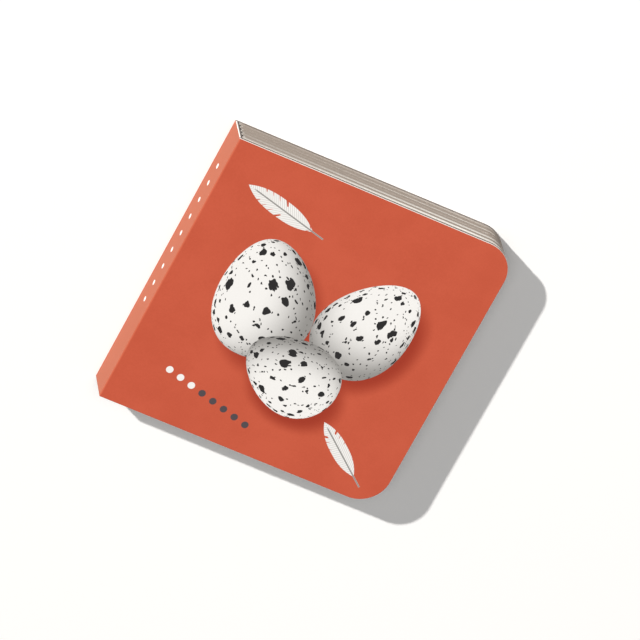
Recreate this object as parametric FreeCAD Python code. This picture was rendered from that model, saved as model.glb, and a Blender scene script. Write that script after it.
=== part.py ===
import FreeCAD, Part
import math
import os

# A square board book for small children, closed and lying on its back cover.
# One creased card is wrapped round five spreads of thick board. Each spread is
# folded once, and the folded spreads are glued back to back, so that the spine
# end shows a row of round folds with a notch between each two. The block springs
# open a little, and its openings are wider at the fore-edge than at the folds.
#
# Frame: origin at the middle of the underside, +Z up through the front cover,
# +X from the spine to the fore-edge, +Y from the tail to the head.

# Driving dimensions, in millimetres
BOOK_WIDTH = 140.0            # from the spine to the fore-edge
BOOK_HEIGHT = 140.0           # from the tail to the head
FORE_CORNER_RADIUS = 14.5     # rounded corners beside the fore-edge
SPINE_CORNER_RADIUS = 0.5     # softened corners at both ends of the spine
COVER_CARD = 1.4              # thickness of the wrapped card
CREASE_RADIUS = 0.4           # outside of the two creases beside the spine
PAGE_BOARD = 1.6              # thickness of one layer of the folded board
SPREADS = 5                   # folded spreads, each with one opening
OPENING_AT_FOLD = 0.15        # height of an opening beside its fold
OPENING_AT_FORE = 0.40        # height of the same opening at the fore-edge
GLUE_WIDTH = 0.30             # glue left in the notch between two folds
SPINE_CLEARANCE = 0.10        # between the folds and the inside of the spine

# Places along X
X_SPINE = -BOOK_WIDTH / 2
X_FORE = BOOK_WIDTH / 2
X_SPINE_INSIDE = X_SPINE + COVER_CARD
FOLD_RADIUS = PAGE_BOARD + OPENING_AT_FOLD / 2
X_CREST = X_SPINE_INSIDE + SPINE_CLEARANCE
X_FOLD = X_CREST + FOLD_RADIUS

# Places along Y
Y_TAIL = -BOOK_HEIGHT / 2
Y_HEAD = BOOK_HEIGHT / 2

# The front cover closes over the last board and the last opening
BOARDS = 2 * SPREADS
# Angle up the fold at which the glue fills the notch beside it
NOTCH_ANGLE = math.asin(1 - GLUE_WIDTH / (2 * FOLD_RADIUS))
# Angle up the fold at which its own opening ends
OPENING_ANGLE = math.asin(OPENING_AT_FOLD / 2 / FOLD_RADIUS)
FOLD_TOP_ANGLE = math.pi / 2


def opening_height(x):
    """Height of one opening, which widens in a straight line from the fold."""
    widening = (OPENING_AT_FORE - OPENING_AT_FOLD) / (X_FORE - X_FOLD)
    return OPENING_AT_FOLD + widening * (x - X_FOLD)


def level(boards, openings, x):
    """Height at x above so many layers of board and so many openings."""
    return COVER_CARD + boards * PAGE_BOARD + openings * opening_height(x)


def at(x, z):
    """A point of the cross-section, which lies at the tail end of the book."""
    return FreeCAD.Vector(x, Y_TAIL, z)


def surface_point(boards, openings, x):
    return at(x, level(boards, openings, x))


def fold_point(spread, angle):
    """A point on the outside of a fold, at an angle up from its crest."""
    centre = level(2 * spread - 1, spread - 0.5, X_FOLD)
    return at(X_FOLD - FOLD_RADIUS * math.cos(angle), centre + FOLD_RADIUS * math.sin(angle))


def line(start, end):
    return Part.LineSegment(start, end).toShape()


def arc(start, middle, end):
    return Part.Arc(start, middle, end).toShape()


def fold_arc(spread, start_angle, end_angle):
    """The round outside of a fold between two angles."""
    middle_angle = (start_angle + end_angle) / 2
    return arc(
        fold_point(spread, start_angle),
        fold_point(spread, middle_angle),
        fold_point(spread, end_angle),
    )


def opening_edges(spread):
    """The slit inside a fold: in from the fore-edge, round its end, and out again."""
    lower_fore = surface_point(2 * spread - 1, spread - 1, X_FORE)
    lower_fold = surface_point(2 * spread - 1, spread - 1, X_FOLD)
    upper_fold = surface_point(2 * spread - 1, spread, X_FOLD)
    upper_fore = surface_point(2 * spread - 1, spread, X_FORE)
    inner_end = at(X_FOLD - OPENING_AT_FOLD / 2, (lower_fold.z + upper_fold.z) / 2)
    return [
        line(lower_fore, lower_fold),
        arc(lower_fold, inner_end, upper_fold),
        line(upper_fold, upper_fore),
    ]


def book_outline():
    """The whole book seen from above, as a tall prism to trim each piece to."""
    spine = SPINE_CORNER_RADIUS
    fore = FORE_CORNER_RADIUS
    middle = 1 - math.cos(math.pi / 4)

    def corner(x, y, radius, start, end):
        inward_x = math.copysign(radius * middle, x)
        inward_y = math.copysign(radius * middle, y)
        return arc(start, FreeCAD.Vector(x - inward_x, y - inward_y, 0), end)

    def point(x, y):
        return FreeCAD.Vector(x, y, 0)

    edges = [
        line(point(X_SPINE + spine, Y_TAIL), point(X_FORE - fore, Y_TAIL)),
        corner(X_FORE, Y_TAIL, fore, point(X_FORE - fore, Y_TAIL), point(X_FORE, Y_TAIL + fore)),
        line(point(X_FORE, Y_TAIL + fore), point(X_FORE, Y_HEAD - fore)),
        corner(X_FORE, Y_HEAD, fore, point(X_FORE, Y_HEAD - fore), point(X_FORE - fore, Y_HEAD)),
        line(point(X_FORE - fore, Y_HEAD), point(X_SPINE + spine, Y_HEAD)),
        corner(X_SPINE, Y_HEAD, spine, point(X_SPINE + spine, Y_HEAD), point(X_SPINE, Y_HEAD - spine)),
        line(point(X_SPINE, Y_HEAD - spine), point(X_SPINE, Y_TAIL + spine)),
        corner(X_SPINE, Y_TAIL, spine, point(X_SPINE, Y_TAIL + spine), point(X_SPINE + spine, Y_TAIL)),
    ]
    face = Part.Face(Part.Wire(edges))
    depth = level(BOARDS, SPREADS, X_FORE) + COVER_CARD
    face.translate(FreeCAD.Vector(0, 0, -depth))
    return face.extrude(FreeCAD.Vector(0, 0, 3 * depth))


def trimmed(section_edges):
    """Run a cross-section from tail to head and cut it to the book's outline."""
    face = Part.Face(Part.Wire(section_edges))
    bar = face.extrude(FreeCAD.Vector(0, BOOK_HEIGHT, 0))
    return bar.common(book_outline()).Solids[0]


def page_block():
    """The double leaves between the two linings, joined to each other at the folds."""
    edges = [line(surface_point(1, 1, X_FORE), surface_point(1, 1, X_FOLD))]
    edges.append(line(surface_point(1, 1, X_FOLD), fold_point(1, OPENING_ANGLE)))
    edges.append(fold_arc(1, OPENING_ANGLE, NOTCH_ANGLE))
    for spread in range(2, SPREADS):
        edges.append(line(fold_point(spread - 1, NOTCH_ANGLE), fold_point(spread, -NOTCH_ANGLE)))
        edges.append(fold_arc(spread, -NOTCH_ANGLE, NOTCH_ANGLE))
    edges.append(line(fold_point(SPREADS - 1, NOTCH_ANGLE), fold_point(SPREADS, -NOTCH_ANGLE)))
    edges.append(fold_arc(SPREADS, -NOTCH_ANGLE, -OPENING_ANGLE))

    top_boards = BOARDS - 1
    top_openings = SPREADS - 1
    top_fold = surface_point(top_boards, top_openings, X_FOLD)
    edges.append(line(fold_point(SPREADS, -OPENING_ANGLE), top_fold))
    edges.append(line(top_fold, surface_point(top_boards, top_openings, X_FORE)))

    for spread in range(SPREADS - 1, 1, -1):
        leaf_top = surface_point(2 * spread + 1, spread, X_FORE)
        leaf_bottom = surface_point(2 * spread - 1, spread, X_FORE)
        edges.append(line(leaf_top, leaf_bottom))
        edges.extend(reversed(opening_edges(spread)))
    edges.append(line(surface_point(3, 1, X_FORE), surface_point(1, 1, X_FORE)))
    return trimmed(edges)


def front_lining():
    """The outer half of the top spread, pasted inside the front cover."""
    opening_fold = surface_point(BOARDS - 1, SPREADS, X_FOLD)
    opening_fore = surface_point(BOARDS - 1, SPREADS, X_FORE)
    pasted_fore = surface_point(BOARDS, SPREADS, X_FORE)
    edges = [
        fold_arc(SPREADS, FOLD_TOP_ANGLE, OPENING_ANGLE),
        line(fold_point(SPREADS, OPENING_ANGLE), opening_fold),
        line(opening_fold, opening_fore),
        line(opening_fore, pasted_fore),
        line(pasted_fore, fold_point(SPREADS, FOLD_TOP_ANGLE)),
    ]
    return trimmed(edges)


def back_lining():
    """The outer half of the bottom spread, pasted inside the back cover."""
    opening_fold = surface_point(1, 0, X_FOLD)
    opening_fore = surface_point(1, 0, X_FORE)
    pasted_fore = surface_point(0, 0, X_FORE)
    edges = [
        fold_arc(1, -FOLD_TOP_ANGLE, -OPENING_ANGLE),
        line(fold_point(1, -OPENING_ANGLE), opening_fold),
        line(opening_fold, opening_fore),
        line(opening_fore, pasted_fore),
        line(pasted_fore, fold_point(1, -FOLD_TOP_ANGLE)),
    ]
    return trimmed(edges)


def cover_panel(pasted_spine, pasted_fore, outward):
    """A cover from its pasted face outward, with the crease rounded beside the spine."""
    card = FreeCAD.Vector(0, 0, outward * COVER_CARD)
    face_fore = pasted_fore + card
    corner = pasted_spine + card
    along = (face_fore - corner).normalize()
    on_face = corner + along * CREASE_RADIUS
    on_spine = corner - FreeCAD.Vector(0, 0, outward * CREASE_RADIUS)
    centre = on_spine + along * CREASE_RADIUS
    middle = centre + (corner - centre).normalize() * CREASE_RADIUS
    edges = [
        line(pasted_fore, face_fore),
        line(face_fore, on_face),
        arc(on_face, middle, on_spine),
        line(on_spine, pasted_spine),
        line(pasted_spine, pasted_fore),
    ]
    return trimmed(edges)


def front_cover():
    return cover_panel(
        surface_point(BOARDS, SPREADS, X_SPINE), surface_point(BOARDS, SPREADS, X_FORE), 1
    )


def back_cover():
    return cover_panel(surface_point(0, 0, X_SPINE), surface_point(0, 0, X_FORE), -1)


def spine():
    """The strip of the card between its two creases."""
    bottom_outside = surface_point(0, 0, X_SPINE)
    bottom_inside = surface_point(0, 0, X_SPINE_INSIDE)
    top_inside = surface_point(BOARDS, SPREADS, X_SPINE_INSIDE)
    top_outside = surface_point(BOARDS, SPREADS, X_SPINE)
    edges = [
        line(bottom_outside, bottom_inside),
        line(bottom_inside, top_inside),
        line(top_inside, top_outside),
        line(top_outside, bottom_outside),
    ]
    return trimmed(edges)


PIECES = {
    "front_cover": front_cover,
    "front_lining": front_lining,
    "spine": spine,
    "page_block": page_block,
    "back_lining": back_lining,
    "back_cover": back_cover,
}

os.makedirs("parts", exist_ok=True)
for name, make in PIECES.items():
    make().exportStep("parts/" + name + ".step")
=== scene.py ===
import math

import bmesh
import bpy
from mathutils import Matrix, Vector


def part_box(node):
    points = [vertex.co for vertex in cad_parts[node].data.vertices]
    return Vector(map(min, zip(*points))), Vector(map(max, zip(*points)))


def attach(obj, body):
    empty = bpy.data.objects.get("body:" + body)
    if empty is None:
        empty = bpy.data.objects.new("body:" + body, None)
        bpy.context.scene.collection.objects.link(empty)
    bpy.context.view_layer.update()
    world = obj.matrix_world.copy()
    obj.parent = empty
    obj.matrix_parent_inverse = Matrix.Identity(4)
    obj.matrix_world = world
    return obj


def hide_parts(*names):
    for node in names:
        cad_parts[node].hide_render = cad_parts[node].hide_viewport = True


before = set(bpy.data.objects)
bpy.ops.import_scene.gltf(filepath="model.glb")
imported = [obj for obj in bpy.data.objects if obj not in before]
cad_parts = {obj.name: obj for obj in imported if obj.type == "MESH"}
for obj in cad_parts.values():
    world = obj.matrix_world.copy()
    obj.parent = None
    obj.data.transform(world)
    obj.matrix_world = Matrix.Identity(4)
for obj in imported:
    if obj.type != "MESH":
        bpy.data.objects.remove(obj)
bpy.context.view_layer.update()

# Sizes of the book's construction, in millimetres
COVER_CARD = 1.4
PAGE_BOARD = 1.6
SPREADS = 5
OPENING_AT_FOLD = 0.15
OPENING_AT_FORE = 0.40
MM = 0.001

# Places in the book, in millimetres, and how fast an opening widens along X
X_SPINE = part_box("spine")[0].x / MM
X_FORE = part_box("page_block")[1].x / MM
X_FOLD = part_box("page_block")[0].x / MM + PAGE_BOARD + OPENING_AT_FOLD / 2
Y_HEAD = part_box("page_block")[1].y / MM
OPENING_SLOPE = (OPENING_AT_FORE - OPENING_AT_FOLD) / (X_FORE - X_FOLD)

# Camera, as seen from the middle of the book, in degrees and metres
VIEW_AZIMUTH = 129.0
VIEW_ELEVATION = 62.0
VIEW_ROLL = 166.7
VIEW_DISTANCE = 3.0
VIEW_WIDTH = 0.2865
VIEW_TARGET = Vector((0.0066, 0.0006, 0.010))
SENSOR_WIDTH = 36.0

# Light: a low key lamp as the photo's shadow shows, a soft panel and the world's fill
SUN_AZIMUTH = 155.7
SUN_ELEVATION = 32.0
SUN_STRENGTH = 3.6
SUN_ANGLE = 1.4
SUN_COLOUR = (1.0, 0.985, 0.965)
SOFTBOX_SIZE = 1.0
SOFTBOX_PLACE = (-0.35, 0.45, 1.6)
SOFTBOX_POWER = 7.5
FILL_STRENGTH = 0.18
FLOOR_GLOW = 0.045
FLOOR_BOUNCE = 0.85
FLOOR_COLOUR = (0.99, 0.98, 0.965)
FLOOR_SIZE = 8.0
FLOOR_DROP = 0.0001

# Edge rounding left by the die that trims the boards, in millimetres
BOARD_EDGE = 0.26
CARD_EDGE = 0.18
EDGE_SEGMENTS = 3

# Clean-up of the solids' meshes before the rounding, in millimetres and degrees
MERGE_DISTANCE = 0.015
FLAT_ANGLE = 0.4
SHORTEST_EDGE = 0.002
SHARP_ANGLE = 36.0

# Upright part of the normal, at most on a cut side and at least on a flat face
SIDE_SLOPE = 0.2
FACE_SLOPE = 0.9

# Thickness of the white printed sheet that is laid over the cover board, in millimetres
SHEET_DEPTH = 0.52

# How far each leaf's cut edges stand back from the trim line, in millimetres,
# from the back lining up to the front lining
HEAD_SETBACK = (0.06, 0.03, 0.08, 0.00, 0.10, 0.28)
TAIL_SETBACK = (0.05, 0.14, 0.00, 0.12, 0.18, 0.04)
FORE_SETBACK = (0.12, 0.02, 0.15, 0.06, 0.00, 0.16)

# Over this distance from the trim line, in millimetres, a leaf's set-back fades to nothing
SETBACK_REACH = 20.0

# Strength of the painted highlight on the cut boards beside each opening, from the back of the
# book to the front
OPENING_HIGHLIGHT = (0.25, 0.05, 0.05, 0.58, 1.00)

# Where such a painted highlight band fades out and is full, in millimetres above its opening
BAND_BELOW = (-1.35, -0.90)
BAND_ABOVE = (0.40, 0.10)

# Share of the painted highlight left at the spine and at the fore-edge, and where it fades
# towards the rounded corners, in millimetres from the fore-edge
BAND_AT_SPINE = 0.20
BAND_AT_FORE = 0.40
BAND_CORNER_FADE = (6.0, 26.0)

# Specular levels of the satin laminate and the coated pages
LAMINATE_SHEEN = 0.15
PAGE_SHEEN = 0.12

# Colours, as linear light
CORAL = (0.597, 0.108, 0.055)
CORAL_DEEP = (0.553, 0.095, 0.047)
CORAL_SHADOW = (0.360, 0.042, 0.020)
# Painted highlight along the crease at the spine
CORAL_CREASE_HIGHLIGHT = (0.640, 0.150, 0.085)
# Painted shade for the faces turned to the spine side, which the key lamp lights most
SPINE_SHADE_TINT = (0.78, 1.05, 0.99)
CARD_WHITE = (0.90, 0.86, 0.82)
# The card's core, darkened as painted shade under the white sheet
CARD_CORE_SHADED = (0.20, 0.165, 0.145)
CARD_DARK_SHADED = (0.11, 0.090, 0.078)
PRINT_WHITE = (0.92, 0.90, 0.87)
PRINT_GREY = (0.30, 0.29, 0.275)
BARB_GREY = (0.66, 0.64, 0.61)
PRINT_BLACK = (0.018, 0.017, 0.017)
PRINT_CHARCOAL = (0.080, 0.066, 0.072)
PAGE_WHITE = (0.84, 0.82, 0.78)
PAGE_CREAM = (0.80, 0.775, 0.735)
BOARD_CORE = (0.450, 0.376, 0.320)
BOARD_PALE = (0.90, 0.86, 0.80)
BOARD_DARK = (0.325, 0.270, 0.226)
# Glue in the notches between the folds, near-black as painted shade
GLUE_NOTCH_SHADE = (0.085, 0.070, 0.060)


class Graph:
    """Short ways to add and join the shader nodes of one material or world."""

    def __init__(self, owner):
        owner.use_nodes = True
        self.owner = owner
        self.tree = owner.node_tree

    def shader_input(self, name):
        return self.tree.nodes["Principled BSDF"].inputs[name]

    def node(self, kind, **settings):
        node = self.tree.nodes.new(kind)
        for key, value in settings.items():
            setattr(node, key, value)
        return node

    def feed(self, socket, value):
        if isinstance(value, bpy.types.NodeSocket):
            self.tree.links.new(value, socket)
        elif isinstance(value, tuple) and socket.type == "RGBA":
            socket.default_value = (*value, 1.0)
        else:
            socket.default_value = value

    def math(self, operation, *values):
        node = self.node("ShaderNodeMath", operation=operation)
        for socket, value in zip(node.inputs, values):
            self.feed(socket, value)
        return node.outputs[0]

    def squares(self, a, b):
        """The sum of the squares of a and b."""
        return self.math("MULTIPLY_ADD", b, b, self.math("MULTIPLY", a, a))

    def vector(self, operation, *values):
        node = self.node("ShaderNodeVectorMath", operation=operation)
        for socket, value in zip(node.inputs, values):
            self.feed(socket, value)
        return node.outputs["Vector"]

    def scaled(self, vector, factors):
        return self.vector("MULTIPLY", vector, factors)

    def split(self, vector):
        node = self.node("ShaderNodeSeparateXYZ")
        self.feed(node.inputs[0], vector)
        return node.outputs[0], node.outputs[1], node.outputs[2]

    def join(self, x, y, z):
        node = self.node("ShaderNodeCombineXYZ")
        for socket, value in zip(node.inputs, (x, y, z)):
            self.feed(socket, value)
        return node.outputs[0]

    def step(self, value, low, high):
        """0 at low and 1 at high, or the other way round where low is above high."""
        node = self.node("ShaderNodeMapRange", interpolation_type="SMOOTHSTEP")
        rising = low < high
        limits = (low, high, 0.0, 1.0) if rising else (high, low, 1.0, 0.0)
        for socket, number in zip(node.inputs, (value, *limits)):
            self.feed(socket, number)
        return node.outputs[0]

    def mix(self, factor, first, second):
        node = self.node("ShaderNodeMix", data_type="RGBA")
        self.feed(node.inputs["Factor"], factor)
        self.feed(node.inputs[6], first)
        self.feed(node.inputs[7], second)
        return node.outputs[2]

    def noise(self, vector, scale, detail=3.0, roughness=0.55):
        node = self.node("ShaderNodeTexNoise")
        self.feed(node.inputs["Vector"], vector)
        self.feed(node.inputs["Scale"], scale)
        self.feed(node.inputs["Detail"], detail)
        self.feed(node.inputs["Roughness"], roughness)
        return node.outputs["Fac"]

    def bump(self, height, distance, strength):
        node = self.node("ShaderNodeBump")
        self.feed(node.inputs["Height"], height)
        self.feed(node.inputs["Distance"], distance)
        self.feed(node.inputs["Strength"], strength)
        return node.outputs[0]

    def place(self):
        """The point in the book's own frame in millimetres, and its surface normal."""
        coordinates = self.node("ShaderNodeTexCoord")
        scale = 1 / MM
        point = self.scaled(coordinates.outputs["Object"], (scale, scale, scale))
        return point, coordinates.outputs["Normal"]


# The printed picture: speckled eggs, two feathers and rows of dots, in millimetres
# and degrees from the middle of the cover, with +Y towards the head of the book.
EGGS = (
    {"centre": (-24.0, 4.0), "half_size": (23.0, 30.0), "lean": 20.0, "spots": 2.7},
    {"centre": (25.0, 9.0), "half_size": (21.0, 27.5), "lean": -24.0, "spots": 2.9},
    {"centre": (4.0, -25.0), "half_size": (18.5, 24.0), "lean": 74.0, "spots": 2.6},
)
FEATHERS = (
    {"centre": (-38.0, 47.0), "half_length": 19.0, "half_width": 4.6, "turn": 14.0},
    {"centre": (41.0, -50.0), "half_length": 16.0, "half_width": 4.0, "turn": 38.0},
)
DOT_RADIUS = 1.7
DOT_ROW_START = Vector((-47.0, -45.0))
DOT_ROW_STEP = Vector((6.2, -1.6))
DOT_ROW_WHITE = 3
DOT_ROW_LENGTH = 8
SPINE_DOTS = 9
SPINE_DOT_RADIUS = 1.25
SPINE_DOT_STEP = 9.0
SPINE_DOT_START = 50.0
EGG_TAPER = 0.20
EGG_SHADOW_OFFSET = Vector((5.0, -6.0))
EGG_SKIN_WARP = (0.22, -0.18, 0.0)
SPECK_SCALE = 2.9
RIB_HALF_WIDTH = 0.35
QUILL_LENGTH = 6.0
PRINT_EDGE = 0.25
PICTURE_LIGHT = Vector((-0.50, 0.52, 0.69))


def turned(graph, u, v, centre, degrees):
    """Coordinates of the point (u, v) along a motif's own axes."""
    angle = math.radians(degrees)
    du = graph.math("SUBTRACT", u, centre[0])
    dv = graph.math("SUBTRACT", v, centre[1])
    cosine, sine = math.cos(angle), math.sin(angle)
    across = graph.math("MULTIPLY_ADD", dv, -sine, graph.math("MULTIPLY", du, cosine))
    along = graph.math("MULTIPLY_ADD", dv, cosine, graph.math("MULTIPLY", du, sine))
    return across, along


def disc(graph, u, v, centre, radius):
    """A filled circle with a clean printed edge."""
    du = graph.math("SUBTRACT", u, centre[0])
    dv = graph.math("SUBTRACT", v, centre[1])
    distance = graph.math("SQRT", graph.squares(du, dv))
    return graph.step(distance, radius + PRINT_EDGE / 2, radius - PRINT_EDGE / 2)


def egg_shadow(graph, u, v, egg):
    """The soft printed shadow on the ground colour beside one egg."""
    centre = Vector(egg["centre"]) + EGG_SHADOW_OFFSET
    across, along = turned(graph, u, v, centre, -egg["lean"])
    a = graph.math("DIVIDE", across, egg["half_size"][0])
    b = graph.math("DIVIDE", along, egg["half_size"][1])
    return graph.step(graph.squares(a, b), 1.35, 0.55)


def egg_picture(graph, u, v, egg):
    """One egg's outline and its shaded, speckled colour."""
    angle = math.radians(-egg["lean"])
    across, along = turned(graph, u, v, egg["centre"], -egg["lean"])
    b = graph.math("DIVIDE", along, egg["half_size"][1])
    girth = graph.math("MULTIPLY_ADD", b, -EGG_TAPER, 1.0)
    a = graph.math("DIVIDE", graph.math("DIVIDE", across, egg["half_size"][0]), girth)
    square = graph.squares(a, b)
    softness = 2 * PRINT_EDGE / egg["half_size"][0]
    outline = graph.step(square, 1.0, 1.0 - softness)

    height = graph.math("SQRT", graph.math("MAXIMUM", graph.math("SUBTRACT", 1.0, square), 0.0))
    light = Matrix.Rotation(-angle, 2) @ PICTURE_LIGHT.to_2d()
    lit = graph.math("MULTIPLY", a, light.x)
    lit = graph.math("MULTIPLY_ADD", b, light.y, lit)
    lit = graph.math("MULTIPLY_ADD", height, PICTURE_LIGHT.z, lit)
    shade = graph.mix(graph.step(lit, -0.35, 0.80), PRINT_GREY, PRINT_WHITE)

    bulge = graph.math("MULTIPLY_ADD", height, 0.5, 0.5)
    skin = graph.join(
        graph.math("DIVIDE", a, bulge), graph.math("DIVIDE", b, bulge), egg["lean"]
    )
    wobble = graph.noise(skin, 5.0, detail=2.0)
    warp = graph.scaled(graph.join(wobble, wobble, 0.0), EGG_SKIN_WARP)
    skin_warped = graph.vector("ADD", skin, warp)
    cells = graph.node("ShaderNodeTexVoronoi", voronoi_dimensions="2D")
    graph.feed(cells.inputs["Vector"], skin_warped)
    graph.feed(cells.inputs["Scale"], egg["spots"])
    graph.feed(cells.inputs["Randomness"], 0.72)
    size, presence, _ = graph.split(cells.outputs["Color"])
    reach = graph.math("MULTIPLY_ADD", graph.math("POWER", size, 1.6), 0.26, 0.10)
    edge = graph.math("SUBTRACT", reach, cells.outputs["Distance"])
    spot = graph.math("MULTIPLY", graph.step(edge, 0.0, 0.03), graph.step(presence, 0.18, 0.20))

    fine = graph.node("ShaderNodeTexVoronoi", voronoi_dimensions="2D")
    graph.feed(fine.inputs["Vector"], skin_warped)
    graph.feed(fine.inputs["Scale"], SPECK_SCALE * egg["spots"])
    _, _, fine_presence = graph.split(fine.outputs["Color"])
    speck = graph.step(fine.outputs["Distance"], 0.20, 0.14)
    speck = graph.math("MULTIPLY", speck, graph.step(fine_presence, 0.55, 0.57))
    dark = graph.math("MAXIMUM", spot, speck)
    return outline, graph.mix(dark, shade, PRINT_BLACK)


def feather_picture(graph, u, v, feather):
    """One white feather with a grey rib and a few splits between its barbs."""
    across, along = turned(graph, u, v, feather["centre"], feather["turn"] - 90.0)
    t = graph.math("DIVIDE", along, feather["half_length"])
    side = graph.math("ABSOLUTE", across)
    vane = graph.math("SUBTRACT", 1.0, graph.math("POWER", graph.math("ABSOLUTE", t), 2.6))
    vane = graph.math("MULTIPLY", vane, feather["half_width"])
    barb = graph.math("MULTIPLY_ADD", side, -0.9, along)
    ragged = graph.noise(graph.join(barb, 0.0, feather["turn"]), 0.55, detail=1.0)
    split = graph.step(ragged, 0.40, 0.34)
    vane = graph.math("MULTIPLY", vane, graph.math("MULTIPLY_ADD", split, -0.45, 1.0))
    body = graph.step(graph.math("SUBTRACT", vane, side), 0.0, PRINT_EDGE)
    quill_end = feather["half_length"] + QUILL_LENGTH
    quill = graph.step(side, RIB_HALF_WIDTH + 0.10, RIB_HALF_WIDTH - 0.10)
    quill = graph.math("MULTIPLY", quill, graph.step(along, -quill_end, -quill_end + 0.3))
    quill = graph.math("MULTIPLY", quill, graph.step(t, 0.85, 0.75))
    outline = graph.math("MAXIMUM", body, quill)
    stripe = graph.math("SINE", graph.math("MULTIPLY", barb, 5.2))
    toned = graph.mix(graph.step(stripe, 0.2, 1.0), PRINT_WHITE, BARB_GREY)
    rib = graph.math("MULTIPLY", graph.step(side, 0.42, 0.22), graph.step(t, 0.85, 0.70))
    return outline, graph.mix(rib, toned, PRINT_GREY)


def cover_picture(graph, ground, point):
    """The whole front print over the ground colour."""
    u, v, _ = graph.split(point)
    colour = ground
    for egg in EGGS:
        colour = graph.mix(egg_shadow(graph, u, v, egg), colour, CORAL_SHADOW)
    for egg in EGGS:
        outline, egg_colour = egg_picture(graph, u, v, egg)
        colour = graph.mix(outline, colour, egg_colour)
    for feather in FEATHERS:
        outline, feather_colour = feather_picture(graph, u, v, feather)
        colour = graph.mix(outline, colour, feather_colour)
    for number in range(DOT_ROW_LENGTH):
        centre = DOT_ROW_START + number * DOT_ROW_STEP
        tint = PRINT_WHITE if number < DOT_ROW_WHITE else PRINT_CHARCOAL
        colour = graph.mix(disc(graph, u, v, centre, DOT_RADIUS), colour, tint)
    return colour


def spine_picture(graph, ground, point):
    """A row of small white dots down the spine."""
    _, v, w = graph.split(point)
    low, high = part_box("spine")
    middle = (low.z + high.z) / 2 / MM
    colour = ground
    for number in range(SPINE_DOTS):
        centre = (SPINE_DOT_START - number * SPINE_DOT_STEP, middle)
        colour = graph.mix(disc(graph, v, w, centre, SPINE_DOT_RADIUS), colour, PRINT_WHITE)
    return colour


def laminate_ground(graph, point, normal):
    """Coral ink with the faint mottling of a large printed area, with a painted highlight along
    the spine crease and painted shade on the faces turned to the spine side.
    """
    cloud = graph.noise(point, 0.045, detail=4.0, roughness=0.6)
    grain = graph.noise(point, 1.3, detail=2.0)
    mottle = graph.math("MULTIPLY_ADD", grain, 0.35, graph.math("MULTIPLY", cloud, 0.65))
    ground = graph.mix(graph.step(mottle, 0.34, 0.66), CORAL_DEEP, CORAL)
    x, _, _ = graph.split(point)
    # Painted highlight: a paler line along the crease at the spine
    crease_highlight = graph.math("ABSOLUTE", graph.math("SUBTRACT", x, X_SPINE + 0.25))
    crease_highlight = graph.math("MULTIPLY", graph.step(crease_highlight, 0.75, 0.05), 0.45)
    ground = graph.mix(crease_highlight, ground, CORAL_CREASE_HIGHLIGHT)
    # Painted shade: faces turned towards the spine side, which the low key lamp lights most, get
    # a darker and more orange ground
    nx, _, _ = graph.split(normal)
    return graph.mix(graph.step(nx, -0.35, -0.85), ground, graph.scaled(ground, SPINE_SHADE_TINT))


def opening_width(graph, x):
    """How far two neighbouring leaves spring apart at this distance from the spine."""
    inward = graph.math("SUBTRACT", x, X_FOLD)
    return graph.math("MULTIPLY_ADD", inward, OPENING_SLOPE, OPENING_AT_FOLD)


def depth_in_card(graph, point, outward):
    """Distance in millimetres from the printed face into the thickness of the card."""
    x, _, z = graph.split(point)
    if outward > 0:
        boards = 2 * COVER_CARD + 2 * SPREADS * PAGE_BOARD
        top = graph.math("MULTIPLY_ADD", opening_width(graph, x), SPREADS, boards)
        return graph.math("SUBTRACT", top, z)
    if outward < 0:
        return z
    return graph.math("SUBTRACT", x, X_SPINE)


def cover_material(name, outward, picture):
    """Printed and laminated outside, with a white sheet over grey-beige board where it is cut,
    the board darkened as painted shade.
    """
    graph = Graph(bpy.data.materials.new(name))
    point, normal = graph.place()
    ground = laminate_ground(graph, point, normal)
    printed_colour = picture(graph, ground, point) if picture else ground

    # The cut card: white sheet, a dark core that also paints the shade line just under the sheet,
    # and the sheet turned in on the hinge faces
    fibre = graph.noise(graph.scaled(point, (0.35, 0.35, 5.0)), 1.0, detail=3.0)
    core = graph.mix(graph.step(fibre, 0.35, 0.65), CARD_DARK_SHADED, CARD_CORE_SHADED)
    sheet = graph.step(depth_in_card(graph, point, outward), SHEET_DEPTH + 0.10, SHEET_DEPTH)
    nx, ny, nz = graph.split(normal)
    x, _, _ = graph.split(point)
    from_spine = graph.math("SUBTRACT", x, X_SPINE)
    past_turn = graph.step(from_spine, SHEET_DEPTH, SHEET_DEPTH + 0.10)
    turned_in = graph.mix(past_turn, ground, CARD_WHITE)
    level = graph.step(graph.math("ABSOLUTE", nz), 0.5, 0.7)
    pasted = graph.math("MAXIMUM", level, graph.step(from_spine, 3.0, 2.0))
    pasted = graph.math("MULTIPLY", pasted, graph.step(graph.math("ABSOLUTE", ny), 0.6, 0.3))
    card = graph.mix(pasted, graph.mix(sheet, core, CARD_WHITE), turned_in)

    # The print, on the faces that look outward or back past the spine
    back = graph.math("MAXIMUM", graph.math("MULTIPLY", nx, -1.0), 0.0)
    out = graph.math("MAXIMUM", graph.math("MULTIPLY", nz, outward), 0.0)
    printed = graph.step(graph.squares(back, out), 0.72, 0.88)
    graph.feed(graph.shader_input("Base Color"), graph.mix(printed, card, printed_colour))

    smear = graph.noise(point, 0.09, detail=3.0)
    satin = graph.math("MULTIPLY_ADD", smear, 0.10, 0.46)
    dull = graph.math("MULTIPLY_ADD", fibre, 0.10, 0.80)
    smoother = graph.math("SUBTRACT", satin, dull)
    rough = graph.math("MULTIPLY_ADD", printed, smoother, dull)
    graph.feed(graph.shader_input("Roughness"), rough)
    graph.shader_input("Specular IOR Level").default_value = LAMINATE_SHEEN

    film = graph.noise(point, 0.9, detail=3.0)
    board = graph.noise(point, 0.12, detail=2.0)
    waves = graph.math("MULTIPLY_ADD", board, 2.5, film)
    graph.feed(graph.shader_input("Normal"), graph.bump(waves, 0.006 * MM, 0.6))
    return graph.owner


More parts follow.
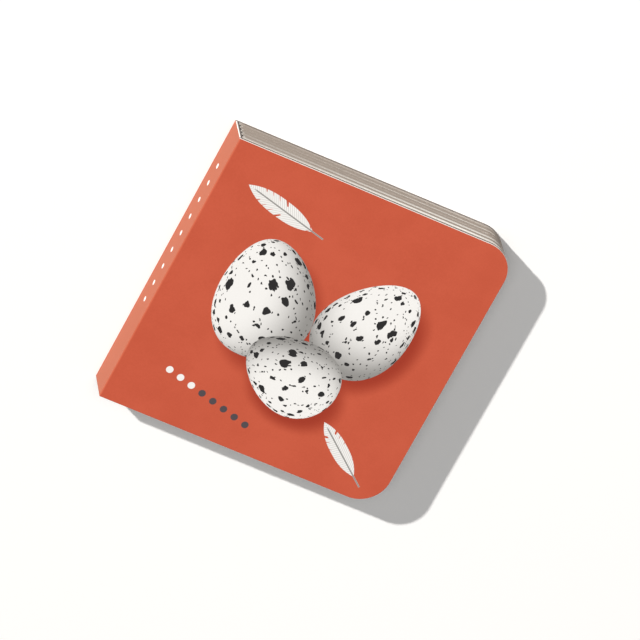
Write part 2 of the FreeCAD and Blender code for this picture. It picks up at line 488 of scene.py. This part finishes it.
def nearest_opening(graph, point):
    """Number of the nearest opening between leaves from the back, and the height above it."""
    x, _, z = graph.split(point)
    width = opening_width(graph, x)
    pitch = graph.math("ADD", width, 2 * PAGE_BOARD)
    above = graph.math("SUBTRACT", z, COVER_CARD + PAGE_BOARD)
    above = graph.math("MULTIPLY_ADD", width, -0.5, above)
    layers = graph.math("DIVIDE", above, pitch)
    number = graph.math("FLOOR", graph.math("ADD", layers, 0.5))
    offset = graph.math("SUBTRACT", layers, number)
    return number, graph.math("MULTIPLY", offset, pitch)


def page_material():
    """Coated white pages whose cut edges show the grey-beige board between its liners."""
    graph = Graph(bpy.data.materials.new("page_board"))
    point, normal = graph.place()
    x, _, _ = graph.split(point)
    _, ny, nz = graph.split(normal)
    opening, height = nearest_opening(graph, point)
    distance = graph.math("ABSOLUTE", height)

    # The board's bare core
    streaks = graph.noise(graph.scaled(point, (0.8, 0.8, 5.0)), 1.0, detail=4.0, roughness=0.65)
    flecks = graph.noise(graph.scaled(point, (1.1, 1.1, 6.0)), 1.0, detail=2.0)
    core = graph.mix(graph.step(streaks, 0.30, 0.70), BOARD_DARK, BOARD_CORE)
    fleck = graph.math("MULTIPLY", graph.step(flecks, 0.56, 0.72), 0.35)
    core = graph.mix(fleck, core, BOARD_PALE)

    # Painted highlight bands beside the openings, and a darker band in the middle of each leaf: a
    # glue joint in the leaves, and painted shade where the linings meet the cover card
    highlight_steps = graph.node("ShaderNodeValToRGB")
    ramp = highlight_steps.color_ramp
    ramp.interpolation = "CONSTANT"
    while len(ramp.elements) < SPREADS:
        ramp.elements.new(0.5)
    for number, share in enumerate(OPENING_HIGHLIGHT):
        ramp.elements[number].position = number / SPREADS
        ramp.elements[number].color = (share, share, share, 1.0)
    graph.feed(highlight_steps.inputs[0], graph.math("DIVIDE", graph.math("ADD", opening, 0.5), SPREADS))
    from_spine = graph.step(x, X_SPINE, 0.6 * X_FORE)
    near, far = BAND_CORNER_FADE
    from_corner = graph.step(x, X_FORE - near, X_FORE - far)
    band_highlight = graph.math("MULTIPLY_ADD", from_spine, 1.0 - BAND_AT_SPINE, BAND_AT_SPINE)
    at_fore = graph.math("MULTIPLY_ADD", from_corner, 1.0 - BAND_AT_FORE, BAND_AT_FORE)
    for share in (at_fore, highlight_steps.outputs[0], graph.step(height, *BAND_BELOW)):
        band_highlight = graph.math("MULTIPLY", band_highlight, share)
    band_highlight = graph.math("MULTIPLY", band_highlight, graph.step(height, *BAND_ABOVE))
    cut = graph.mix(band_highlight, core, BOARD_PALE)
    # A darker band in each leaf's middle: the glue joint between its two boards, and painted
    # shade next to the cover card on the linings
    glue_line_and_shade = graph.step(distance, PAGE_BOARD - 0.70, PAGE_BOARD)
    cut = graph.mix(graph.math("MULTIPLY", glue_line_and_shade, 0.50), cut, BOARD_DARK)

    # The pale skin that follows each fold
    into_fold = graph.math("SUBTRACT", X_FOLD, x)
    radius = graph.math("SQRT", graph.squares(into_fold, distance))
    in_fold = graph.step(into_fold, 0.0, 0.1)
    skin = graph.step(radius, PAGE_BOARD - 0.35, PAGE_BOARD - 0.20)
    skin = graph.math("MULTIPLY", graph.math("MULTIPLY", in_fold, 0.5), skin)
    cut = graph.mix(skin, cut, BOARD_PALE)

    # The coated faces, and the folds' outsides with glue deep in the notches, painted near-black
    # as shade
    face = graph.noise(point, 0.08, detail=3.0)
    page = graph.mix(face, PAGE_CREAM, PAGE_WHITE)
    coated = graph.step(graph.math("ABSOLUTE", nz), 0.90, 0.97)
    colour = graph.mix(coated, cut, page)
    groove = graph.math("MULTIPLY", in_fold, graph.step(graph.math("ABSOLUTE", ny), 0.5, 0.3))
    colour = graph.mix(groove, colour, page)
    # Painted shade: the deep part of each notch between the folds is painted near-black over the
    # glue
    groove = graph.math("MULTIPLY", groove, graph.step(distance, 0.6, 0.9))
    graph.feed(graph.shader_input("Base Color"), graph.mix(groove, colour, GLUE_NOTCH_SHADE))

    rough = graph.math("MULTIPLY_ADD", coated, -0.28, 0.86)
    graph.feed(graph.shader_input("Roughness"), rough)
    graph.shader_input("Specular IOR Level").default_value = PAGE_SHEEN
    relief = graph.math("MULTIPLY", streaks, graph.math("SUBTRACT", 1.02, coated))
    graph.feed(graph.shader_input("Normal"), graph.bump(relief, 0.04 * MM, 0.8))
    return graph.owner


def is_trimmed_edge(edge, inner_x):
    """True for an outer edge between a flat face and a cut side, away from the folds."""
    if len(edge.link_faces) != 2:
        return False
    middle = (edge.verts[0].co + edge.verts[1].co) / 2
    slopes = sorted(abs(face.normal.z) for face in edge.link_faces)
    return slopes[0] < SIDE_SLOPE and slopes[1] > FACE_SLOPE and middle.x > inner_x


def set_back(mesh, number_of, setbacks):
    """Draw the cut edges of each leaf in from the trim line by its own small amount."""
    for vert in mesh.verts:
        leaf = number_of(vert.co)
        head, tail, fore = (values[leaf] for values in setbacks)
        side = head if vert.co.y > 0 else tail
        share_y = max(0.0, abs(vert.co.y) / MM - Y_HEAD + SETBACK_REACH) / SETBACK_REACH
        share_x = max(0.0, vert.co.x / MM - X_FORE + SETBACK_REACH) / SETBACK_REACH
        vert.co.y -= math.copysign(side * share_y * MM, vert.co.y)
        vert.co.x -= fore * share_x * MM


def leaf_number(co):
    """The leaf that a point of the pages belongs to, counted from the back lining."""
    opening = OPENING_AT_FOLD + OPENING_SLOPE * (co.x / MM - X_FOLD)
    layers = (co.z / MM - COVER_CARD - PAGE_BOARD - opening / 2) / (2 * PAGE_BOARD + opening)
    return min(max(math.floor(layers) + 1, 0), SPREADS)


def eased_copy(node, body, material, radius, inner_x, number_of=None, setbacks=None):
    """A copy of a solid with its trimmed edges rounded, shown in the solid's place."""
    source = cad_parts[node]
    mesh = bmesh.new()
    mesh.from_mesh(source.data)
    bmesh.ops.remove_doubles(mesh, verts=mesh.verts, dist=MERGE_DISTANCE * MM)
    bmesh.ops.dissolve_limit(
        mesh, angle_limit=math.radians(FLAT_ANGLE), verts=mesh.verts, edges=mesh.edges
    )
    if setbacks:
        set_back(mesh, number_of, setbacks)
    mesh.normal_update()
    edges = [edge for edge in mesh.edges if is_trimmed_edge(edge, inner_x)]
    bmesh.ops.bevel(
        mesh,
        geom=edges,
        offset=radius * MM,
        segments=EDGE_SEGMENTS,
        profile=0.5,
        affect="EDGES",
        clamp_overlap=False,
    )
    bmesh.ops.dissolve_degenerate(mesh, dist=SHORTEST_EDGE * MM, edges=mesh.edges)
    mesh.normal_update()
    for face in mesh.faces:
        face.smooth = True
    for edge in mesh.edges:
        if len(edge.link_faces) == 2:
            edge.smooth = edge.calc_face_angle() < math.radians(SHARP_ANGLE)
    data = bpy.data.meshes.new(node + "_eased")
    mesh.to_mesh(data)
    mesh.free()
    data.materials.append(material)
    piece = bpy.data.objects.new(node + "_eased", data)
    bpy.context.scene.collection.objects.link(piece)
    weighted = piece.modifiers.new("flat_faces", "WEIGHTED_NORMAL")
    weighted.keep_sharp = True
    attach(piece, body)
    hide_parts(node)
    return piece


def build_book():
    front = cover_material("front_print", 1.0, cover_picture)
    back = cover_material("back_print", -1.0, None)
    spine = cover_material("spine_print", 0.0, spine_picture)
    pages = page_material()
    setbacks = (HEAD_SETBACK, TAIL_SETBACK, FORE_SETBACK)
    everywhere = (X_SPINE - 1.0) * MM
    past_folds = (X_FOLD + 0.2) * MM
    eased_copy("front_cover", "front", front, CARD_EDGE, everywhere)
    eased_copy("back_cover", "back", back, CARD_EDGE, everywhere)
    eased_copy("spine", "book_block", spine, CARD_EDGE, -everywhere)
    page_bodies = {"front_lining": "front", "page_block": "book_block", "back_lining": "back"}
    for node, body in page_bodies.items():
        eased_copy(node, body, pages, BOARD_EDGE, past_folds, leaf_number, setbacks)


def seen_directly(graph):
    """1 for camera, glossy and transmission rays, and 0 for the light bounced off others."""
    path = graph.node("ShaderNodeLightPath")
    seen = path.outputs["Is Camera Ray"]
    for output in ("Is Glossy Ray", "Is Transmission Ray"):
        seen = graph.math("MAXIMUM", seen, path.outputs[output])
    return seen


def floor_material():
    """A plain sheet, white where it is seen and grey where it only bounces light."""
    graph = Graph(bpy.data.materials.new("white_sheet"))
    seen = seen_directly(graph)
    bounce = (FLOOR_BOUNCE, FLOOR_BOUNCE, FLOOR_BOUNCE)
    colour = graph.mix(seen, bounce, FLOOR_COLOUR)
    graph.feed(graph.shader_input("Base Color"), colour)
    graph.shader_input("Roughness").default_value = 1.0
    graph.shader_input("Specular IOR Level").default_value = 0.0
    graph.shader_input("Emission Color").default_value = (1.0, 1.0, 1.0, 1.0)
    glow = graph.math("MULTIPLY", seen, FLOOR_GLOW)
    graph.feed(graph.shader_input("Emission Strength"), glow)
    return graph.owner


def build_floor():
    half = FLOOR_SIZE / 2
    data = bpy.data.meshes.new("floor")
    corners = [(-half, -half, 0), (half, -half, 0), (half, half, 0), (-half, half, 0)]
    data.from_pydata([(x, y, z - FLOOR_DROP) for x, y, z in corners], [], [(0, 1, 2, 3)])
    floor = bpy.data.objects.new("floor", data)
    floor.data.materials.append(floor_material())
    bpy.context.scene.collection.objects.link(floor)


def direction(azimuth, elevation):
    """Unit vector towards a point of the sky, from angles in degrees."""
    a, e = math.radians(azimuth), math.radians(elevation)
    return Vector((math.cos(e) * math.cos(a), math.cos(e) * math.sin(a), math.sin(e)))


def build_light():
    lamp = bpy.data.lights.new("key", "SUN")
    lamp.energy = SUN_STRENGTH
    lamp.angle = math.radians(SUN_ANGLE)
    lamp.color = SUN_COLOUR
    key = bpy.data.objects.new("key", lamp)
    key.rotation_euler = direction(SUN_AZIMUTH, SUN_ELEVATION).to_track_quat("Z", "Y").to_euler()
    bpy.context.scene.collection.objects.link(key)

    panel = bpy.data.lights.new("softbox", "AREA")
    panel.shape = "SQUARE"
    panel.size = SOFTBOX_SIZE
    panel.energy = SOFTBOX_POWER
    softbox = bpy.data.objects.new("softbox", panel)
    softbox.location = SOFTBOX_PLACE
    bpy.context.scene.collection.objects.link(softbox)

    world = bpy.data.worlds.new("studio")
    bpy.context.scene.world = world
    sky = Graph(world)
    background = sky.tree.nodes["Background"]
    background.inputs["Color"].default_value = (1.0, 1.0, 1.0, 1.0)
    seen = seen_directly(sky)
    level = sky.math("MULTIPLY_ADD", seen, 1.0 - FILL_STRENGTH, FILL_STRENGTH)
    sky.feed(background.inputs["Strength"], level)


def build_camera():
    """The photograph's view: a long lens tilted towards the head and the spine."""
    toward = direction(VIEW_AZIMUTH, VIEW_ELEVATION)
    level_right = Vector((-toward.y, toward.x, 0.0)).normalized()
    level_up = toward.cross(level_right)
    roll = math.radians(VIEW_ROLL)
    right = level_right * math.cos(roll) + level_up * math.sin(roll)
    up = level_up * math.cos(roll) - level_right * math.sin(roll)
    data = bpy.data.cameras.new("camera")
    data.sensor_width = SENSOR_WIDTH
    data.lens = SENSOR_WIDTH * VIEW_DISTANCE / VIEW_WIDTH
    data.clip_end = 50.0
    camera = bpy.data.objects.new("camera", data)
    turn = Matrix((right, up, toward)).transposed()
    place = Matrix.Translation(VIEW_TARGET + toward * VIEW_DISTANCE)
    camera.matrix_world = place @ turn.to_4x4()
    bpy.context.scene.collection.objects.link(camera)
    bpy.context.scene.camera = camera


bpy.context.scene.view_settings.view_transform = "Standard"
build_camera()
build_light()
build_floor()
build_book()

bpy.context.view_layer.update()
